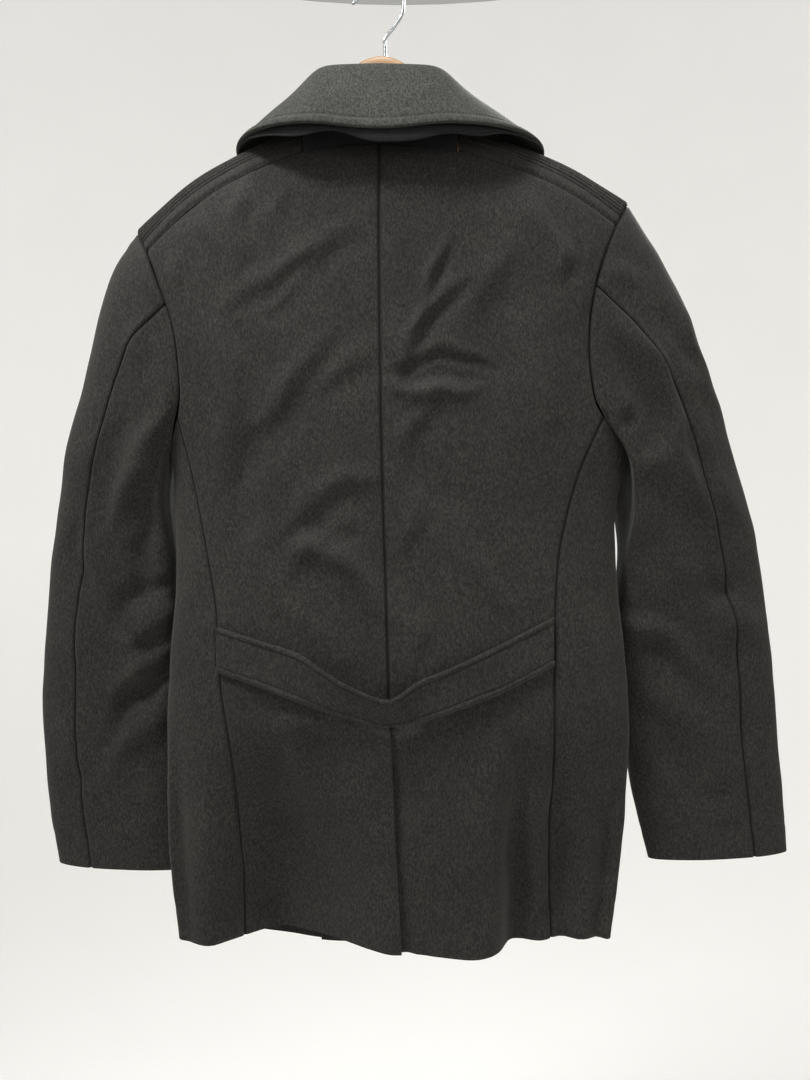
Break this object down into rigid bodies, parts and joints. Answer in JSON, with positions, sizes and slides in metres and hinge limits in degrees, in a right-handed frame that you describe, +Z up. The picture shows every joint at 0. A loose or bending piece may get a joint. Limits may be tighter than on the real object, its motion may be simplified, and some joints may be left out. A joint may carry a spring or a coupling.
{
  "type": "double-breasted coat on a hanger",
  "caption": "Hip-length double-breasted wool coat with corded shoulders, a drooping half belt and a back vent, hanging on a plain wooden hanger with a wire hook.",
  "frame": {"origin": "inside top of the hanger's hook, where it sits on what holds it up", "axes": "+Z up, +Y out of the coat's back, +X towards the wearer's left; the fronts face -Y"},
  "size_m": [0.7813, 0.159, 1.0121],
  "materials": {
    "outer_wool": "brushed heavy wool, heathered charcoal brown, matt",
    "collar_wool": "dense dark wool, matt",
    "button": "satin",
    "hanger_wood": "clear varnish",
    "hook_steel": "bright wire"
  },
  "bodies": {
    "root": {"back_left": "outer_wool", "back_right": "outer_wool", "side_left": "outer_wool", "side_right": "outer_wool", "front_left": "outer_wool", "front_right": "outer_wool", "shoulder_yoke_left": "outer_wool", "shoulder_yoke_right": "outer_wool", "sleeve_upper_left": "outer_wool", "sleeve_upper_right": "outer_wool", "sleeve_under_left": "outer_wool", "sleeve_under_right": "outer_wool", "lapel_left": "outer_wool", "lapel_right": "outer_wool", "collar_leaf": "outer_wool", "collar_stand": "collar_wool", "back_belt": "outer_wool", "button_right_1": "button", "button_left_1": "button", "button_right_2": "button", "button_left_2": "button", "button_right_3": "button", "button_left_3": "button", "button_right_4": "button", "button_left_4": "button", "hanger_wood": "hanger_wood", "hanger_hook": "hook_steel"}
  },
  "joints": []
}
